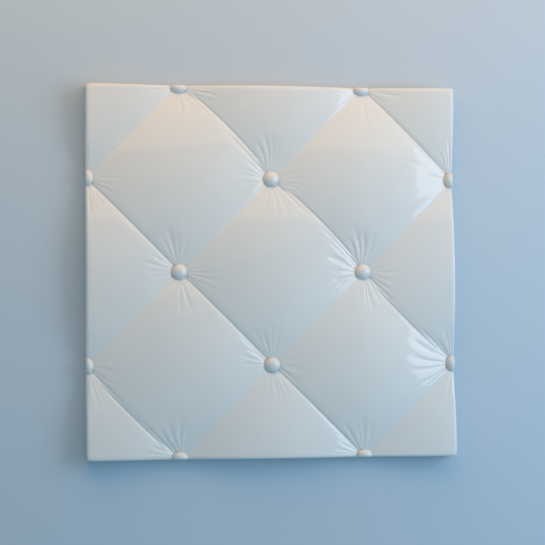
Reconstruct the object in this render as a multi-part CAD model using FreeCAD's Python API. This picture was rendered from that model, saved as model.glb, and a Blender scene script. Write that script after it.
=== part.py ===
# Wall panel tile: one square plaster casting with a deep-buttoned upholstery relief.
# It lies on its flat back: +Z points out of the face, the origin is at the middle of the back.
# Lengths are in millimetres.
import FreeCAD, Part
import math
import os

from FreeCAD import Vector

# Outline of the casting
SIDE = 500.0
THICKNESS = 30.0
CORNER_ROUND = 2.8

# Quilting: each diamond cushion has this many widths along a side of the tile
DIAMONDS_PER_SIDE = 2
CUSHION_DROP = 17.3

# Seams: the shallow fold on all four sides of a cushion
SEAM_WIDTH = 3.2
SEAM_DEPTH = 0.4

# Creases: the deep folds along the seams that fall from upper left to lower right
CREASE_WIDTH = 4.2
CREASE_DEPTH = 1.9

# Buttons: domes whose rims are sunk where the cushions' corners meet
BUTTON_DIAMETER = 20.8
BUTTON_TOP_DROP = 8.0
BUTTON_CROWN = 4.2
BUTTON_EDGE_ROUND = 3.0

# Pleats: gathers that run out from each button over the cushion corners; each has its own
# length and its own angle off the cushion's diagonal, in degrees towards the deeper crease
PLEAT_LENGTHS = (36.0, 44.0, 46.0, 42.0)
PLEAT_ANGLES = (-13.0, 3.0, 16.0, 30.0)
PLEAT_DEPTH = 1.2
PLEAT_OPENING = 3.6

# Worked out from the sizes above
PITCH = SIDE / DIAMONDS_PER_SIDE
REACH = PITCH / 2.0
CUSHION_WIDTH = PITCH / math.sqrt(2.0)
BUTTON_RADIUS = BUTTON_DIAMETER / 2.0


def crown_height(x, y):
    """Height of a cushion at this place from its middle, creases and pleats left out."""
    return THICKNESS - CUSHION_DROP * (x ** 2 + y ** 2) / REACH ** 2


def crown_edge(half_width, depth):
    """Parabola along one side of a cushion, at this distance from its middle."""
    corner = crown_height(half_width, half_width) - depth
    middle = crown_height(half_width, 0.0) - depth
    edge = Part.BezierCurve()
    edge.setPoles([
        Vector(half_width, -half_width, corner),
        Vector(half_width, 0.0, 2.0 * middle - corner),
        Vector(half_width, half_width, corner),
    ])
    return edge.toShape()


def crown_patch(half_width):
    """Top of a cushion, one patch of degree two both ways."""
    fall = CUSHION_DROP * (half_width / REACH) ** 2
    across = ((-half_width, -fall), (0.0, fall), (half_width, -fall))
    patch = Part.BezierSurface()
    patch.increase(2, 2)
    for row, (x, rise_x) in enumerate(across, start=1):
        for column, (y, rise_y) in enumerate(across, start=1):
            patch.setPole(row, column, Vector(x, y, THICKNESS + rise_x + rise_y))
    return patch.toShape()


def quarter_turned(shape, count):
    turned = shape.copy()
    turned.rotate(Vector(0, 0, 0), Vector(0, 0, 1), 90 * count)
    return turned


def diamond():
    """Closed block under one cushion, out to the middle of the seams on its four sides."""
    outer = crown_edge(CUSHION_WIDTH / 2.0, SEAM_DEPTH)
    inner = crown_edge((CUSHION_WIDTH - SEAM_WIDTH) / 2.0, 0.0)
    side_foot = Part.makeLine(Vector(CUSHION_WIDTH / 2.0, -CUSHION_WIDTH / 2.0, 0),
                              Vector(CUSHION_WIDTH / 2.0, CUSHION_WIDTH / 2.0, 0))
    strips = (Part.makeRuledSurface(outer, inner), Part.makeRuledSurface(side_foot, outer))
    faces = [quarter_turned(strip, count) for strip in strips for count in range(4)]
    faces.append(crown_patch((CUSHION_WIDTH - SEAM_WIDTH) / 2.0))
    faces.append(Part.makePlane(CUSHION_WIDTH, CUSHION_WIDTH,
                                Vector(-CUSHION_WIDTH / 2.0, -CUSHION_WIDTH / 2.0, 0)))
    shell = Part.Shell(faces)
    shell.sewShape()
    block = Part.Solid(shell)
    if block.Volume < 0:
        block.reverse()
    block.rotate(Vector(0, 0, 0), Vector(0, 0, 1), 45)
    return block


def upright_edges(shape):
    return [edge for edge in shape.Edges
            if len(edge.Vertexes) == 2
            and abs(edge.Vertexes[0].X - edge.Vertexes[1].X) < 1e-4
            and abs(edge.Vertexes[0].Y - edge.Vertexes[1].Y) < 1e-4]


def knife(start, end, depth, opening, up):
    """Cutter with a V section, whose straight edge runs from start to end.

    The section is as wide as opening where it is depth above the edge, and it goes on to
    three times that height, so that it clears the crown.
    """
    along = end - start
    sideways = along.cross(up).normalize() * opening * 1.5
    above = start + up * depth * 3.0
    section = Part.makePolygon([start, above + sideways, above - sideways, start])
    return Part.Face(section).extrude(along)


def pleat(angle, length):
    """Cutter for one groove, out of the button at a cushion's -Y corner.

    Its edge starts below the crown at the button and meets it again at the groove's end. The
    crown bulges between those points, so the groove keeps its depth and then fades.
    """
    toward = Vector(math.sin(angle), math.cos(angle), 0)
    ends = []
    for run, depth in ((BUTTON_RADIUS, PLEAT_DEPTH), (BUTTON_RADIUS + length, 0.0)):
        point = Vector(0, -REACH, 0) + toward * run
        point.z = crown_height(point.x, point.y) - depth
        ends.append(point)
    step = (ends[1] - ends[0]) * 0.1
    return knife(ends[0] - step, ends[1] + step, PLEAT_DEPTH, PLEAT_OPENING, Vector(0, 0, 1))


def cushion():
    """One quilted diamond with the pleats that run into it from its four buttons."""
    grooves = []
    for count in range(4):
        deeper_side = 1.0 if count % 2 else -1.0
        for angle, length in zip(PLEAT_ANGLES, PLEAT_LENGTHS):
            groove = pleat(math.radians(angle * deeper_side), length)
            grooves.append(quarter_turned(groove, count))
    return diamond().cut(grooves)


def crease():
    """Cutter for the deep fold along a cushion's upper right side, from button to button."""
    half_width = CUSHION_WIDTH / 2.0
    bottom = crown_edge(half_width, CREASE_DEPTH)
    lip = Vector(CREASE_WIDTH / 2.0, 0, CREASE_DEPTH)
    flanks = []
    for side in (1.0, -1.0):
        edge = bottom.copy()
        edge.translate(Vector(lip.x * side, 0, lip.z) * 1.5)
        flanks.append(edge)
    faces = [Part.makeRuledSurface(bottom, flanks[0]), Part.makeRuledSurface(flanks[0], flanks[1]),
             Part.makeRuledSurface(flanks[1], bottom)]
    for end in (0, -1):
        corners = [edge.valueAt(edge.ParameterRange[end]) for edge in (bottom, flanks[0], flanks[1])]
        faces.append(Part.Face(Part.makePolygon(corners + [corners[0]])))
    shell = Part.Shell(faces)
    shell.sewShape()
    cutter = Part.Solid(shell)
    if cutter.Volume < 0:
        cutter.reverse()
    cutter.rotate(Vector(0, 0, 0), Vector(0, 0, 1), 45)
    return cutter


def lattice(odd):
    """Places on the tile, half a pitch apart: cushion middles, or the buttons between them."""
    steps = 2 * DIAMONDS_PER_SIDE
    for row in range(steps + 1):
        for column in range(steps + 1):
            if (row + column) % 2 == odd:
                yield Vector(column * REACH - SIDE / 2.0, row * REACH - SIDE / 2.0, 0)


def button():
    """Domed cover button on a round stem that roots it in the casting."""
    top = THICKNESS - BUTTON_TOP_DROP
    rim = top - BUTTON_CROWN
    root = (THICKNESS - CUSHION_DROP) / 2.0
    dome_radius = (BUTTON_RADIUS ** 2 + BUTTON_CROWN ** 2) / (2.0 * BUTTON_CROWN)
    turn = math.asin(BUTTON_RADIUS / dome_radius) / 2.0
    halfway = Vector(dome_radius * math.sin(turn), 0, top - dome_radius * (1.0 - math.cos(turn)))
    edges = [
        Part.makeLine(Vector(0, 0, root), Vector(BUTTON_RADIUS, 0, root)),
        Part.makeLine(Vector(BUTTON_RADIUS, 0, root), Vector(BUTTON_RADIUS, 0, rim)),
        Part.Arc(Vector(BUTTON_RADIUS, 0, rim), halfway, Vector(0, 0, top)).toShape(),
        Part.makeLine(Vector(0, 0, top), Vector(0, 0, root)),
    ]
    turned = Part.Face(Part.Wire(edges)).revolve(Vector(0, 0, 0), Vector(0, 0, 1), 360)
    rim_edges = [edge for edge in turned.Edges if abs(edge.BoundBox.ZMin - rim) < 1e-3]
    return turned.makeFillet(BUTTON_EDGE_ROUND, rim_edges)


def placed(shape, places):
    copies = []
    for place in places:
        copy = shape.copy()
        copy.translate(place)
        copies.append(copy)
    return copies


def tile():
    """Whole casting: cushions side by side, creases and buttons between them, trimmed square."""
    blank = Part.makeBox(SIDE, SIDE, THICKNESS * 1.5, Vector(-SIDE / 2.0, -SIDE / 2.0, 0))
    blank = blank.makeFillet(CORNER_ROUND, upright_edges(blank))
    button_places = list(lattice(1))
    cushions = [copy.common(blank) for copy in placed(cushion(), lattice(0))]
    quilt = cushions[0].fuse(cushions[1:])
    quilt = quilt.cut(placed(crease(), lattice(0)))
    buttons = [copy.common(blank) for copy in placed(button(), button_places)]
    return quilt.fuse(buttons).removeSplitter()


os.makedirs("parts", exist_ok=True)
panel = tile()
solids = panel.Solids
print("solids", len(solids), "valid", panel.isValid(), "faces", len(panel.Faces))
print("volume litres", round(panel.Volume / 1e6, 4), "box", panel.BoundBox)
solids[0].exportStep("parts/tile.step")
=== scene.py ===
import math

import bpy
from mathutils import Matrix, Vector


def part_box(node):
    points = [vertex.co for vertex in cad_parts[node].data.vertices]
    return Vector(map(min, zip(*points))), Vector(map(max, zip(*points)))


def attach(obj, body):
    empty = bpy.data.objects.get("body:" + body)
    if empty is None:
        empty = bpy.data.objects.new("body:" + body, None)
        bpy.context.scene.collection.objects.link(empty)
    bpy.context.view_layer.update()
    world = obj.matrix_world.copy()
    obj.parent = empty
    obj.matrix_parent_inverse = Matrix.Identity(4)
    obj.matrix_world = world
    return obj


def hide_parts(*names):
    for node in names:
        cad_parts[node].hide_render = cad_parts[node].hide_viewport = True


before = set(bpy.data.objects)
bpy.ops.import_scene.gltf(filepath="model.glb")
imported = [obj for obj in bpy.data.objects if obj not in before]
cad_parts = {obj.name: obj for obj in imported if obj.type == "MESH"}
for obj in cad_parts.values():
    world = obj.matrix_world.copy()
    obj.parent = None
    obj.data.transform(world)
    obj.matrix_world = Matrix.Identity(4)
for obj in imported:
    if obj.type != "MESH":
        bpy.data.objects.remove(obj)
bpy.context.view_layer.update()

# The casting
# One slab of gypsum plaster, poured face down into a flexible mould taken from buttoned
# upholstery. The cushions, creases, pleats and buttons of its face are all one skin of plaster,
# and its back is the flat side that was screeded off at the mouth of the mould.

tile_low, tile_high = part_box("tile")
TILE_SIDE = tile_high[0] - tile_low[0]
TILE_THICKNESS = tile_high[2] - tile_low[2]
DIAMONDS_PER_SIDE = 2
CUSHION_DROP = 0.0173
SEED = 7

# Points of the casting that lie closer together than this are welded into one
WELD = 0.00002


def fill_inputs(tree, node, inputs):
    """Link each named input of a node to what it reads, or set it to a plain value.

    An input that is given as None keeps its default.
    """
    for name, value in inputs.items():
        if isinstance(value, Field):
            value = value.socket
        if isinstance(value, bpy.types.NodeSocket):
            tree.links.new(value, node.inputs[name])
        elif value is not None:
            node.inputs[name].default_value = value


def added(tree, kind, inputs, **settings):
    """A new node in the tree of a shape or of a material."""
    node = tree.nodes.new(kind)
    for name, setting in settings.items():
        setattr(node, name, setting)
    fill_inputs(tree, node, inputs)
    return node


class Field:
    """A number that differs from point to point of the casting, used in plain arithmetic."""

    def __init__(self, tree, socket):
        self.tree = tree
        self.socket = socket

    def apply(self, operation, *others):
        values = dict(enumerate((self,) + others))
        node = added(self.tree, "ShaderNodeMath", values, operation=operation)
        return Field(self.tree, node.outputs[0])

    def __add__(self, other):
        return self.apply("ADD", other)

    def __sub__(self, other):
        return self.apply("SUBTRACT", other)

    def __mul__(self, other):
        return self.apply("MULTIPLY", other)

    def __truediv__(self, other):
        return self.apply("DIVIDE", other)

    def __neg__(self):
        return self.apply("MULTIPLY", -1.0)

    def __pow__(self, other):
        return self.apply("POWER", other)

    def __lt__(self, other):
        return self.apply("LESS_THAN", other)

    def __gt__(self, other):
        return self.apply("GREATER_THAN", other)


def smooth_step(value, low, high):
    """0 below low, 1 above high, and a soft slope between them."""
    limits = {"Value": value, "From Min": low, "From Max": high}
    node = added(value.tree, "ShaderNodeMapRange", limits, interpolation_type="SMOOTHSTEP")
    return Field(value.tree, node.outputs["Result"])


def flipped(share):
    """0 where share is 1, and 1 where it is 0."""
    return (share - 1.0) * -1.0


def is_number(value, number):
    """1 where a field of whole numbers has this number, and 0 elsewhere."""
    return (value - float(number)).apply("ABSOLUTE") < 0.5


def blend(share, first, second):
    """The first field where share is 0, the second, a field or a number, where it is 1."""
    return first + (first * -1.0 + second) * share


def picked(low, high, number, seed):
    """A steady random value between low and high, one for each number."""
    node = added(number.tree, "FunctionNodeRandomValue", {}, data_type="FLOAT")
    live = {slot.name: slot for slot in node.inputs if slot.enabled}
    live["Min"].default_value = low
    live["Max"].default_value = high
    number.tree.links.new(number.socket, live["ID"])
    number.tree.links.new(seed.socket, live["Seed"])
    return Field(number.tree, next(slot for slot in node.outputs if slot.enabled))


def split_position(tree):
    """The x, y and z of each point."""
    position = added(tree, "GeometryNodeInputPosition", {})
    split = added(tree, "ShaderNodeSeparateXYZ", {0: position.outputs[0]})
    return [Field(tree, socket) for socket in split.outputs]


def from_middle(x, y):
    """How far out a point lies, towards the nearest side of the square tile."""
    return x.apply("ABSOLUTE").apply("MAXIMUM", y.apply("ABSOLUTE"))


def moved(tree, geometry, x, y, z, selection=None):
    """Set every point, or the chosen ones, to the place that the three fields give."""
    place = added(tree, "ShaderNodeCombineXYZ", {0: x, 1: y, 2: z})
    wanted = {"Geometry": geometry, "Position": place.outputs[0], "Selection": selection}
    return added(tree, "GeometryNodeSetPosition", wanted).outputs[0]


def welded(tree, geometry):
    wanted = {"Geometry": geometry, "Distance": WELD}
    return added(tree, "GeometryNodeMergeByDistance", wanted).outputs[0]


# The net of points that the face is raised from
# Each quarter of a button has its own spokes, which crowd together beside the creases, and its
# own rings. The first rings lie on the dome. The others start a little outside its rim and
# stand wider apart the further out they are.
SPOKES = 48
RINGS = 57
DOME_RINGS = 8
RIM_GAP = 0.00005
RING_GROWTH = 3.0
SPOKE_CROWDING = 2.2
UNCROWDED_SHARE = 0.12


def quarter_net(tree, size):
    """Flat net of one quarter around a button, from its middle out to the cushions' middles.

    Its rings are round on the button and square where four quarters of neighbours meet.
    """
    net = added(tree, "GeometryNodeMeshGrid", {
        "Size X": 1.0, "Size Y": 1.0,
        "Vertices X": size["spokes"] + 1.0, "Vertices Y": size["rings"] + 1.0})
    x, y = split_position(tree)[:2]
    turn = x + 0.5
    ring = (y + 0.5) * size["rings"]
    angle = turn * (math.pi / 2.0)
    across, along = angle.apply("COSINE"), angle.apply("SINE")

    dome_turn = ring / size["dome rings"] * (math.pi / 2.0)
    dome_radius = dome_turn.apply("SINE") * size["button radius"]

    outer = (ring - size["dome rings"] - 1.0) / (size["rings"] - size["dome rings"] - 1.0)
    share = ((outer * RING_GROWTH).apply("EXPONENT") - 1.0) / (math.exp(RING_GROWTH) - 1.0)
    foot = size["button radius"] + RIM_GAP
    from_crease = turn.apply("PINGPONG", 0.5) * 2.0
    crowded = from_crease ** SPOKE_CROWDING * (1.0 - UNCROWDED_SHARE)
    sideways = size["half width"] * (from_crease * UNCROWDED_SHARE + crowded)
    second_leg = turn > 0.5
    end_x = blend(second_leg, size["half width"], sideways)
    end_y = blend(second_leg, sideways, size["half width"])
    flat_x = blend(share, across * foot, end_x)
    flat_y = blend(share, along * foot, end_y)
    on_dome = ring < (size["dome rings"] + 0.5)
    net_x = blend(on_dome, flat_x, across * dome_radius)
    net_y = blend(on_dome, flat_y, along * dome_radius)
    return moved(tree, net.outputs["Mesh"], net_x, net_y, 0.0)


def laid_out(tree, net, size):
    """The flat net of the whole face: four quarters at each button, cut off at the tile's edge.

    The buttons take every second point of a grid with an odd number of points a side.
    """
    number = Field(tree, added(tree, "GeometryNodeInputIndex", {}).outputs[0])
    four = added(tree, "GeometryNodeMeshLine", {"Count": 4, "Offset": (0.0, 0.0, 0.0)})
    heading = number * (math.pi / 2.0) + math.pi / 4.0
    turned = added(tree, "ShaderNodeCombineXYZ", {"Z": heading})
    rosette = added(tree, "GeometryNodeInstanceOnPoints", {
        "Points": four.outputs["Mesh"], "Instance": net, "Rotation": turned.outputs[0]})

    points_a_side = size["diamonds"] * 2.0 + 1.0
    grid = added(tree, "GeometryNodeMeshGrid", {
        "Size X": size["side"], "Size Y": size["side"],
        "Vertices X": points_a_side, "Vertices Y": points_a_side})
    spread = added(tree, "GeometryNodeInstanceOnPoints", {
        "Points": grid.outputs["Mesh"], "Selection": number.apply("MODULO", 2.0),
        "Instance": rosette.outputs[0]})
    real = added(tree, "GeometryNodeRealizeInstances", {0: spread.outputs[0]})

    x, y = split_position(tree)[:2]
    beyond = from_middle(x, y) > size["half side"]
    cut = added(tree, "GeometryNodeDeleteGeometry",
                {"Geometry": real.outputs[0], "Selection": beyond}, domain="FACE")
    return welded(tree, cut.outputs[0])


# The numbers of the quarters keep their random draws apart: the columns are numbered this far
# apart, and all of them are lifted above 0
COLUMN_STEP = 7.0
NUMBER_LIFT = 40.0

# A bow or a fold swells faster from a button than a cosine arch does
ARCH_POWER = 0.6


def quarter_number(column, row, beyond_a, beyond_b):
    """A number of its own for each quarter of each button, from fields or from plain numbers."""
    return (column * COLUMN_STEP + row + NUMBER_LIFT) * 4.0 + beyond_a * 2.0 + beyond_b


class Place:
    """Where each point of the net lies beside its nearest button and along its nearest crease.

    Side a points up to the right, across the deep creases, and side b up to the left, along
    them. The buttons of a column stand on the same deep crease.
    """

    def __init__(self, tree, size):
        self.x, self.y = split_position(tree)[:2]
        width = size["half width"] * 2.0
        a = (self.x + self.y) * math.sqrt(0.5)
        b = (self.y - self.x) * math.sqrt(0.5)
        self.column = (a / width).apply("FLOOR")
        row = (b / width).apply("FLOOR")
        self.side_a = a - (self.column + 0.5) * width
        side_b = b - (row + 0.5) * width
        self.from_a = self.side_a.apply("ABSOLUTE")
        self.from_b = side_b.apply("ABSOLUTE")
        self.radius = (self.from_a * self.from_a + self.from_b * self.from_b).apply("SQRT")
        self.beyond_rim = self.radius - size["button radius"]
        # 0 in the middle of a quarter, and more towards the deep crease
        self.bearing = self.from_b.apply("ARCTAN2", self.from_a) - math.pi / 4.0
        self.quarter = quarter_number(self.column, row, self.side_a > 0.0, side_b > 0.0)
        self.above_button = (self.side_a > 0.0) * (side_b > 0.0)
        # A part of a deep crease runs from 0.5 at its upper left button to -0.5 at the other
        self.part = (b / width).apply("ROUND")
        self.along = (b - self.part * width) / width
        self.arch = (self.along * math.pi).apply("COSINE").apply("MAXIMUM", 0.0) ** ARCH_POWER

    def on_part(self, column, part):
        """1 near this part of the deep crease of this column, and 0 elsewhere."""
        return is_number(self.column, column) * is_number(self.part, part)


def crown(place, size):
    """Height of the smooth cushions, whose middles are the highest places of the tile."""
    to_middle_a = size["half width"] - place.from_a
    to_middle_b = size["half width"] - place.from_b
    fall = (size["drop"] * (to_middle_a * to_middle_a + to_middle_b * to_middle_b)
            / size["reach"] ** 2.0)
    return size["thickness"] - fall


# Creases: the deep ones fall from upper left to lower right, and the faint ones cross them
CREASE_DEPTH = 0.0015
FAINT_CREASE_DEPTH = 0.00025
CREASE_WIDTH = 0.0018

# Parts of deep creases that bow, and take the face beside them along: column, part and bow. A
# bow fades over its reach to both sides, near the buttons and towards the tile's edge.
BOWED_CREASES = ((0, 1, 0.0072), (0, 0, 0.0068), (0, -1, -0.0052), (-2, 0, -0.0050))
BOW_REACH = 0.060
BOW_BUTTON_FADE = (0.012, 0.035)
BOW_EDGE_MARGIN = 0.030

# Folds along those parts and beside others: column and part, how far the fold lies from the
# straight line at the buttons and halfway, where along the part it starts and ends, and its depth
FOLDS = (
    (0, 1, 0.0020, 0.0072, 0.36, -0.34, 0.0011),
    (0, 1, 0.0002, 0.0002, -0.04, -0.6, 0.0010),
    (0, 1, 0.0, 0.0, 0.6, 0.18, 0.0005),
    (0, 0, 0.0020, 0.0068, 0.30, -0.36, 0.0013),
    (0, 0, 0.0, 0.0006, 0.6, 0.12, 0.0011),
    (0, 0, 0.0006, 0.0010, -0.06, -0.6, 0.0009),
    (0, 0, -0.0044, -0.0044, -0.12, -0.40, 0.0007),
    (0, -1, 0.0, 0.0, 0.6, 0.20, 0.0011),
    (0, -1, -0.0026, -0.0052, 0.32, -0.18, 0.0014),
    (0, -1, 0.0006, 0.0006, -0.16, -0.6, 0.0011),
    (0, -1, 0.0, 0.0, 0.6, -0.6, 0.0003),
    (-2, 0, -0.0004, -0.0004, 0.6, 0.14, 0.0008),
    (-2, 0, -0.0004, -0.0004, -0.10, -0.6, 0.0008),
    (-2, 0, -0.0006, -0.0012, 0.6, -0.6, 0.0004),
    (-2, 0, -0.0025, -0.0050, 0.26, -0.28, 0.0012),
    (-1, 0, -0.0040, -0.0040, -0.16, -0.6, 0.0006),
    (-1, -1, 0.0040, 0.0060, 0.6, 0.26, 0.0009),
)
FOLD_WIDTH = 0.0013
FOLD_FADE = 0.07
FOLD_BOTTOM_ROUND = 0.00025


def groove(distance, width):
    """1 along the bottom of a pinched fold, falling away on both sides."""
    rounded = (distance * distance + FOLD_BOTTOM_ROUND ** 2).apply("SQRT")
    return (-(rounded / width)).apply("EXPONENT")


def bow_at(place, size):
    """How far a bowed crease takes each point of the face along, up to the right."""
    bows = [place.on_part(column, part) * bow for column, part, bow in BOWED_CREASES]
    near = flipped(smooth_step(place.from_a, 0.0, BOW_REACH))
    clear = smooth_step(place.radius, *BOW_BUTTON_FADE)
    margin = smooth_step(from_middle(place.x, place.y),
                         size["half side"] - BOW_EDGE_MARGIN, size["half side"])
    return sum(bows[1:], bows[0]) * place.arch * near * clear * flipped(margin)


def creased(height, place, size, bow):
    """The height with its creases and folds. Where a crease bows, a fold takes its place."""
    straight = 1.0
    for column, part, _ in BOWED_CREASES:
        straight = flipped(place.on_part(column, part)) * straight
    height = height - groove(place.from_a, size["crease width"]) * size["crease depth"] * straight
    height = height - groove(place.from_b, size["crease width"]) * size["faint crease depth"]
    for column, part, at_buttons, halfway, start, end, depth in FOLDS:
        here = place.on_part(column, part)
        begun = flipped(smooth_step(place.along, start - FOLD_FADE, start + FOLD_FADE))
        lasting = smooth_step(place.along, end - FOLD_FADE, end + FOLD_FADE)
        line = place.arch * (halfway - at_buttons) + at_buttons
        aside = place.side_a + bow - line
        height = height - groove(aside, FOLD_WIDTH) * here * begun * lasting * depth
    return height


# Pleats in each quarter around a button: angle off the middle of the quarter, towards the deep
# crease, length and steepness. Each angle is drawn this many degrees to both sides, and the
# other sizes between these shares of themselves. A pleat's flare is the share by which its half
# width grows with the distance from the button.
PLEATS = ((-13.0, 0.034, 0.15), (3.0, 0.042, 0.21), (16.0, 0.044, 0.21), (30.0, 0.040, 0.18))
PLEAT_WIDTH = 0.0008
PLEAT_FLARE = 0.115
PLEAT_TURN = 4.0
LENGTH_SHARES = (0.8, 1.2)
STEEPNESS_SHARES = (0.6, 1.4)
FLARE_SHARES = (0.7, 1.2)
DEEP_SHARE_OF_LENGTH = 0.45
PLEAT_CREASE_FADE = (0.0003, 0.002)

# Pleats above a button are longer and wider
ABOVE_BUTTON_REACH = 1.15
ABOVE_BUTTON_FLARE = 1.6

# Pleats at the left of three buttons, chosen one by one: how many half pitches the button lies
# to the right of the tile's middle and above it, then angle, length, steepness and flare of
# each. One with a steepness below 0 is a low ridge.
SET_PLEATS = (
    (2, -1, ((-29.3, 0.060, 0.14, 0.08), (-8.8, 0.062, 0.14, 0.16),
             (9.3, 0.064, 0.13, 0.27), (32.0, 0.066, 0.14, 0.19))),
    (2, 1, ((-13.0, 0.074, 0.06, 0.07), (-37.0, 0.072, -0.12, 0.17),
            (13.5, 0.038, 0.32, 0.13), (22.0, 0.080, 0.06, 0.09))),
    (1, 0, ((-30.0, 0.040, 0.18, 0.12), (-18.5, 0.044, 0.24, 0.16),
            (-1.0, 0.046, 0.26, 0.11), (18.5, 0.052, 0.28, 0.22))),
)

# Each pleat of a quarter draws its sizes with seeds of its own, counted up in steps
PLEAT_SEED_STEP = 10

# Folds that leave a button beside a crease, nearly in line with it
SIDE_FOLD_SEED = 50
SIDE_FOLD_START = 0.0026
SIDE_FOLD_SLANT = 0.085
SIDE_FOLD_FADE = (0.015, 0.062)
SIDE_FOLD_DEPTHS = (0.00009, 0.0009)


def left_quarter(steps_right, steps_up):
    """Number of the quarter at the left of the button that lies at this place."""
    column = (steps_up + steps_right - 1) / 2.0
    row = (steps_up - steps_right - 1) / 2.0
    return quarter_number(column, row, 0, 1)


def pleat_sizes(place, size, order):
    """Angle, length, steepness and flare of one pleat in every quarter, fields all four."""
    usual_angle, usual_length, usual_steepness = PLEATS[order]
    ranges = [(math.radians(usual_angle - PLEAT_TURN), math.radians(usual_angle + PLEAT_TURN))]
    for usual, (least, most) in ((usual_length, LENGTH_SHARES),
                                 (usual_steepness, STEEPNESS_SHARES),
                                 (PLEAT_FLARE, FLARE_SHARES)):
        ranges.append((usual * least, usual * most))
    seeds = [size["seed"] + float(PLEAT_SEED_STEP * order + offset) for offset in (1, 2, 3, 4)]
    angle, length, steepness, flare = [picked(low, high, place.quarter, seed)
                                       for (low, high), seed in zip(ranges, seeds)]
    length = length * (place.above_button * (ABOVE_BUTTON_REACH - 1.0) + 1.0)
    flare = flare * (place.above_button * (ABOVE_BUTTON_FLARE - 1.0) + 1.0)
    sizes = [angle, length, steepness, flare]
    for steps_right, steps_up, pleats in SET_PLEATS:
        here = is_number(place.quarter, left_quarter(steps_right, steps_up))
        chosen_angle, *others = pleats[order]
        chosen = [math.radians(chosen_angle)] + others
        sizes = [blend(here, drawn, value) for drawn, value in zip(sizes, chosen)]
    return sizes


def pleated(height, place, size):
    """The height with the pleats of every quarter and the folds beside its two creases."""
    off_crease = (smooth_step(place.from_a, *PLEAT_CREASE_FADE)
                  * smooth_step(place.from_b, *PLEAT_CREASE_FADE))
    for order in range(len(PLEATS)):
        angle, length, steepness, flare = pleat_sizes(place, size, order)
        aside = (place.radius * (place.bearing - angle).apply("SINE")).apply("ABSOLUTE")
        half = place.beyond_rim * flare + size["pleat width"]
        inside = (aside / half * -1.0 + 1.0).apply("MAXIMUM", 0.0)
        fade = flipped(smooth_step(place.beyond_rim, length * DEEP_SHARE_OF_LENGTH, length))
        height = height - inside * inside * half * steepness * fade * off_crease
    sides = ((place.from_a, place.from_b), (place.from_b, place.from_a))
    for order, (beside, outward) in enumerate(sides):
        seed = size["seed"] + float(SIDE_FOLD_SEED + order)
        depth = picked(*SIDE_FOLD_DEPTHS, place.quarter, seed)
        aside = beside - SIDE_FOLD_START - (outward - size["button radius"]) * SIDE_FOLD_SLANT
        fade = flipped(smooth_step(outward, *SIDE_FOLD_FADE))
        height = height - groove(aside, size["pleat width"]) * depth * fade * off_crease
    return height


# Buttons: domes with a narrow moat around them, where the cloth of the original was drawn in
BUTTON_RADIUS = 0.0104
BUTTON_TOP_DROP = 0.0080
BUTTON_RISE = 0.0076
MOAT_WIDTH = 0.0015
MOAT_DEPTH = 0.0010


def moat(place):
    return (-(place.beyond_rim / MOAT_WIDTH)).apply("EXPONENT") * MOAT_DEPTH


def dome(place, size):
    """Height of a button: a quarter ellipse turned about its middle."""
    share = (place.radius / size["button radius"]).apply("MINIMUM", 1.0)
    rise = flipped(share * share).apply("SQRT") * size["button rise"]
    return size["thickness"] - size["button top"] - size["button rise"] + rise


# The slight unevenness of the stuffing, which lowers the cushions more than it raises them
UNEVEN_SCALE = 14.0
UNEVEN_HEIGHT = 0.0006
UNEVEN_LEVEL = 0.7

# The rounded arris: the face is drawn in by its radius over the last stretch before the edge
EDGE_ROUND = 0.0028
EDGE_STRETCH = 0.012


def raised(tree, face, size):
    """The net lifted into cushions, creases, pleats and buttons, and moved with the bows."""
    place = Place(tree, size)
    bow = bow_at(place, size)
    height = creased(crown(place, size), place, size, bow)
    height = pleated(height, place, size) - moat(place)
    noise = added(tree, "ShaderNodeTexNoise", {"Scale": UNEVEN_SCALE, "Detail": 1.0})
    height = height + (Field(tree, noise.outputs[0]) - UNEVEN_LEVEL) * UNEVEN_HEIGHT
    height = height.apply("MINIMUM", size["thickness"])
    on_button = place.radius < (size["button radius"] + WELD)
    height = blend(on_button, height, dome(place, size))

    ends = []
    for value in (place.x, place.y):
        edge = smooth_step(value.apply("ABSOLUTE"), size["half side"] - EDGE_STRETCH,
                           size["half side"])
        drawn_in = value.apply("SIGN") * edge * (size["edge round"] * -1.0)
        ends.append(value + drawn_in + bow * math.sqrt(0.5))
    return moved(tree, face, ends[0], ends[1], height)


# The sides of the slab: the arris is rounded in steps, and the foot of the side has a chamfer
ARRIS_STEPS = 3
CHAMFER_SHARE = 0.5


def coated(tree, sheet, material, selection=None):
    wanted = {"Geometry": sheet, "Material": material, "Selection": selection}
    return added(tree, "GeometryNodeSetMaterial", wanted).outputs[0]


def next_band(tree, sheet, open_edges, size, outward, drop=None, height=None, material=None):
    """A band of faces added along the open edges of the sheet.

    Its far side moves outward, and down by drop or to height. The sheet and the new open
    edges are returned.
    """
    grown = added(tree, "GeometryNodeExtrudeMesh", {
        "Mesh": sheet, "Selection": open_edges, "Offset Scale": 0.0}, mode="EDGES")
    x, y, z = split_position(tree)
    threshold = size["half side"] - size["edge round"] - WELD / 2.0
    on_x = (x.apply("ABSOLUTE") > threshold) * x.apply("SIGN")
    on_y = (y.apply("ABSOLUTE") > threshold) * y.apply("SIGN")
    both = (on_x * on_x + on_y * on_y).apply("SQRT").apply("MAXIMUM", 1.0)
    new_z = z - drop if height is None else height
    shifted = moved(tree, grown.outputs["Mesh"], x + on_x / both * outward,
                    y + on_y / both * outward, new_z, grown.outputs["Top"])
    if material is not None:
        shifted = coated(tree, shifted, material, grown.outputs["Side"])
    return shifted, grown.outputs["Top"]


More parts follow.
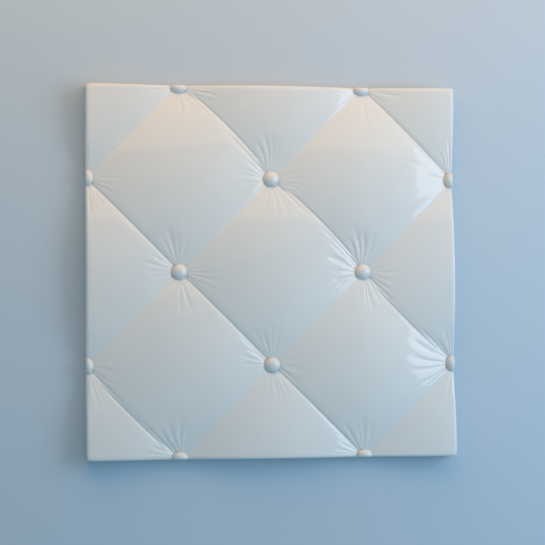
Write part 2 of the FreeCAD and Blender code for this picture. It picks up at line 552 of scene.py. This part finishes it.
def walled(tree, sheet, size, plaster):
    """The raised face with its arris and sides, and with the edges that are left open."""
    faces_beside = Field(tree, added(tree, "GeometryNodeInputMeshEdgeNeighbors", {}).outputs[0])
    edge = faces_beside < 1.5
    for step in range(ARRIS_STEPS):
        before = math.radians(90.0 * step / ARRIS_STEPS)
        now = math.radians(90.0 * (step + 1) / ARRIS_STEPS)
        sheet, edge = next_band(tree, sheet, edge, size,
                                size["edge round"] * (math.sin(now) - math.sin(before)),
                                drop=size["edge round"] * (math.cos(before) - math.cos(now)))
    sheet, edge = next_band(tree, sheet, edge, size, 0.0,
                            height=size["edge round"] * CHAMFER_SHARE, material=plaster)
    return next_band(tree, sheet, edge, size, size["edge round"] * -CHAMFER_SHARE, height=0.0)


def back_of(tree, sheet, edge, plaster):
    """One flat face across the open edges."""
    outline = added(tree, "GeometryNodeMeshToCurve", {"Mesh": sheet, "Selection": edge})
    filled = added(tree, "GeometryNodeFillCurve", {"Curve": outline.outputs[0]}, mode="NGONS")
    facing_out = added(tree, "GeometryNodeFlipFaces", {"Mesh": filled.outputs[0]})
    return coated(tree, facing_out.outputs[0], plaster)


def casting_tree():
    """The Geometry Nodes tree of the casting, and the sizes to give to its inputs."""
    tree = bpy.data.node_groups.new("plaster casting", "GeometryNodeTree")
    sizes = {
        "side": TILE_SIDE, "thickness": TILE_THICKNESS, "diamonds": float(DIAMONDS_PER_SIDE),
        "drop": CUSHION_DROP, "crease depth": CREASE_DEPTH,
        "faint crease depth": FAINT_CREASE_DEPTH, "crease width": CREASE_WIDTH,
        "button radius": BUTTON_RADIUS, "button top": BUTTON_TOP_DROP, "button rise": BUTTON_RISE,
        "pleat width": PLEAT_WIDTH, "edge round": EDGE_ROUND, "spokes": float(SPOKES),
        "rings": float(RINGS), "dome rings": float(DOME_RINGS), "seed": float(SEED),
    }
    for name in sizes:
        tree.interface.new_socket(name, in_out="INPUT", socket_type="NodeSocketFloat")
    for name in ("lacquer", "bare plaster"):
        tree.interface.new_socket(name, in_out="INPUT", socket_type="NodeSocketMaterial")
    tree.interface.new_socket("casting", in_out="OUTPUT", socket_type="NodeSocketGeometry")
    given = added(tree, "NodeGroupInput", {}).outputs
    size = {name: Field(tree, given[name]) for name in sizes}
    size["half side"] = size["side"] * 0.5
    size["reach"] = size["side"] / size["diamonds"] * 0.5
    size["half width"] = size["reach"] * math.sqrt(0.5)

    sheet = raised(tree, laid_out(tree, quarter_net(tree, size), size), size)
    sheet = coated(tree, sheet, given["lacquer"])
    sheet, edge = walled(tree, sheet, size, given["bare plaster"])
    back = back_of(tree, sheet, edge, given["bare plaster"])
    whole = added(tree, "GeometryNodeJoinGeometry", {0: back})
    tree.links.new(sheet, whole.inputs[0])
    real = added(tree, "GeometryNodeRealizeInstances", {0: welded(tree, whole.outputs[0])})
    added(tree, "NodeGroupOutput", {0: real.outputs[0]})
    return tree, sizes


# Where the drift of a plaster's colour reaches its dark and its light shade
DARK_POINT = 0.3
LIGHT_POINT = 0.7


def clouded(name, scale, detail, dark, light):
    """A material whose colour drifts softly between two shades.

    The sockets of the piece's own coordinates and of the drift come with it.
    """
    material = bpy.data.materials.new(name)
    material.use_nodes = True
    tree = material.node_tree
    here = added(tree, "ShaderNodeTexCoord", {}).outputs["Object"]
    cloud = added(tree, "ShaderNodeTexNoise", {"Vector": here, "Scale": scale, "Detail": detail})
    tint = added(tree, "ShaderNodeValToRGB", {"Fac": cloud.outputs["Fac"]})
    shades = zip(tint.color_ramp.elements, (DARK_POINT, LIGHT_POINT), (dark, light))
    for element, position, colour in shades:
        element.position = position
        element.color = colour + (1.0,)
    fill_inputs(tree, tree.nodes["Principled BSDF"], {"Base Color": tint.outputs["Color"]})
    return material, here, cloud.outputs["Fac"]


def lacquered_plaster():
    """White satin lacquer, sprayed on plaster: near even in colour, with a fine orange peel."""
    material, here, cloud = clouded("lacquered plaster", scale=9.0, detail=4.0,
                                    dark=(0.725, 0.735, 0.735), light=(0.765, 0.77, 0.765))
    tree = material.node_tree
    satin = added(tree, "ShaderNodeMapRange", {"Value": cloud, "To Min": 0.40, "To Max": 0.50})
    peel = added(tree, "ShaderNodeTexNoise", {"Vector": here, "Scale": 420.0, "Detail": 2.0})
    bump = added(tree, "ShaderNodeBump", {
        "Height": peel.outputs["Fac"], "Strength": 0.015, "Distance": 0.0002})
    fill_inputs(tree, tree.nodes["Principled BSDF"], {
        "Roughness": satin.outputs["Result"], "Coat Weight": 0.66, "Coat Roughness": 0.05,
        "Normal": bump.outputs["Normal"]})
    return material


def bare_plaster():
    """Set gypsum without paint: matt, off-white, with pinholes and the marks of the screed."""
    material, here, _ = clouded("bare plaster", scale=14.0, detail=6.0,
                                dark=(0.66, 0.65, 0.62), light=(0.76, 0.75, 0.72))
    tree = material.node_tree
    drawn_out = added(tree, "ShaderNodeMapping", {"Vector": here, "Scale": (6.0, 90.0, 90.0)})
    screed = added(tree, "ShaderNodeTexNoise", {
        "Vector": drawn_out.outputs["Vector"], "Scale": 1.0, "Detail": 5.0})
    pores = added(tree, "ShaderNodeTexVoronoi", {"Vector": here, "Scale": 160.0})
    pits = added(tree, "ShaderNodeMapRange", {"Value": pores.outputs["Distance"],
                                              "From Max": 0.16})
    total = added(tree, "ShaderNodeMath", {0: screed.outputs["Fac"], 1: pits.outputs["Result"]})
    bump = added(tree, "ShaderNodeBump", {
        "Height": total.outputs[0], "Strength": 0.5, "Distance": 0.0006})
    fill_inputs(tree, tree.nodes["Principled BSDF"], {
        "Roughness": 0.85, "Normal": bump.outputs["Normal"]})
    return material


def cast(tree, sizes, lacquer, plaster):
    """The mesh that the tree makes with these sizes and materials."""
    blank = bpy.data.objects.new("blank", bpy.data.meshes.new("blank"))
    bpy.context.scene.collection.objects.link(blank)
    modifier = blank.modifiers.new("casting", "NODES")
    modifier.node_group = tree
    identifiers = {item.name: item.identifier for item in tree.interface.items_tree
                   if item.in_out == "INPUT"}
    for name, value in {**sizes, "lacquer": lacquer, "bare plaster": plaster}.items():
        modifier[identifiers[name]] = value
    depsgraph = bpy.context.evaluated_depsgraph_get()
    mesh = bpy.data.meshes.new_from_object(blank.evaluated_get(depsgraph))
    blank.modifiers.remove(modifier)
    bpy.data.objects.remove(blank)
    return mesh


tile_tree, tile_sizes = casting_tree()
tile_mesh = cast(tile_tree, tile_sizes, lacquered_plaster(), bare_plaster())
tile_mesh.name = "quilted_tile"
# All but the back, a single face with many corners, is shaded smooth
for polygon in tile_mesh.polygons:
    polygon.use_smooth = len(polygon.vertices) <= 4
tile = bpy.data.objects.new("quilted_tile", tile_mesh)
bpy.context.scene.collection.objects.link(tile)

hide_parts("tile")
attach(tile, "root")

# The floor
# A plain pale studio surface, one sheet of matt painted board. The tile lies on it on its flat
# back.

FLOOR_SIZE = 8.0
FLOOR_COLOUR = (0.50, 0.60, 0.70, 1.0)
FLOOR_ROUGHNESS = 0.9

far = FLOOR_SIZE / 2.0
floor_mesh = bpy.data.meshes.new("floor")
floor_mesh.from_pydata([(-far, -far, 0.0), (far, -far, 0.0), (far, far, 0.0), (-far, far, 0.0)],
                       [], [(0, 1, 2, 3)])
floor = bpy.data.objects.new("floor", floor_mesh)
bpy.context.scene.collection.objects.link(floor)
floor_paint = bpy.data.materials.new("floor paint")
floor_paint.use_nodes = True
fill_inputs(floor_paint.node_tree, floor_paint.node_tree.nodes["Principled BSDF"],
            {"Base Color": FLOOR_COLOUR, "Roughness": FLOOR_ROUGHNESS})
floor_mesh.materials.append(floor_paint)

# The light
# A near white soft box stands at the right, with a blue fill closer in, and a warm one stands
# above the tile's top edge. The room around them is dim and cool.

ROOM_COLOUR = (0.51, 0.82, 1.0, 1.0)
ROOM_STRENGTH = 0.44


def soft_box(name, place, aim, width, length, power, colour):
    lamp = bpy.data.lights.new(name, "AREA")
    lamp.shape = "RECTANGLE"
    lamp.size = width
    lamp.size_y = length
    lamp.energy = power
    lamp.color = colour
    holder = bpy.data.objects.new(name, lamp)
    holder.location = place
    toward = Vector(aim) - Vector(place)
    holder.rotation_euler = toward.to_track_quat("-Z", "Y").to_euler()
    bpy.context.scene.collection.objects.link(holder)


soft_box("soft box right", place=(1.39, 0.225, 1.08), aim=(0.0, 0.225, 0.0),
         width=1.05, length=0.98, power=11.3, colour=(0.83, 0.86, 1.0))
soft_box("fill right", place=(0.84, 0.06, 0.66), aim=(0.10, 0.0, 0.0),
         width=1.4, length=1.4, power=2.5, colour=(0.02, 0.62, 1.0))
soft_box("soft box top", place=(-0.07, 0.74, 0.53), aim=(-0.07, 0.20, 0.0),
         width=1.6, length=0.95, power=6.7, colour=(1.0, 0.51, 0.13))

room = bpy.data.worlds.new("room")
room.use_nodes = True
fill_inputs(room.node_tree, room.node_tree.nodes["Background"],
            {"Color": ROOM_COLOUR, "Strength": ROOM_STRENGTH})
bpy.context.scene.world = room

# The camera
# It looks almost straight down on the tile, from a little to its left, as the photograph does.
# Its lens gives the photograph's focal length in pixels across the photograph's width.

CAMERA_PLACE = (-0.42756, -0.11941, 2.67074)
CAMERA_AIM = (-0.00179, -0.00169, 0.030)
CAMERA_ROLL = math.radians(0.4138)
PHOTO_WIDTH = 545.0
FOCAL_PIXELS = 2002.6
SENSOR_WIDTH = 36.0


def look_at(place, aim, roll):
    """Turn for a camera at place that looks at aim, its upper edge turned by roll from +Y."""
    forward = (Vector(aim) - Vector(place)).normalized()
    near_up = Vector((math.sin(roll), math.cos(roll), 0.0))
    right = forward.cross(near_up).normalized()
    upward = right.cross(forward)
    return Matrix((right, upward, -forward)).transposed().to_euler()


camera_data = bpy.data.cameras.new("camera")
camera_data.sensor_width = SENSOR_WIDTH
camera_data.lens = SENSOR_WIDTH * FOCAL_PIXELS / PHOTO_WIDTH
camera = bpy.data.objects.new("camera", camera_data)
camera.location = CAMERA_PLACE
camera.rotation_euler = look_at(CAMERA_PLACE, CAMERA_AIM, CAMERA_ROLL)
bpy.context.scene.collection.objects.link(camera)
bpy.context.scene.camera = camera
bpy.context.scene.view_settings.view_transform = "Standard"
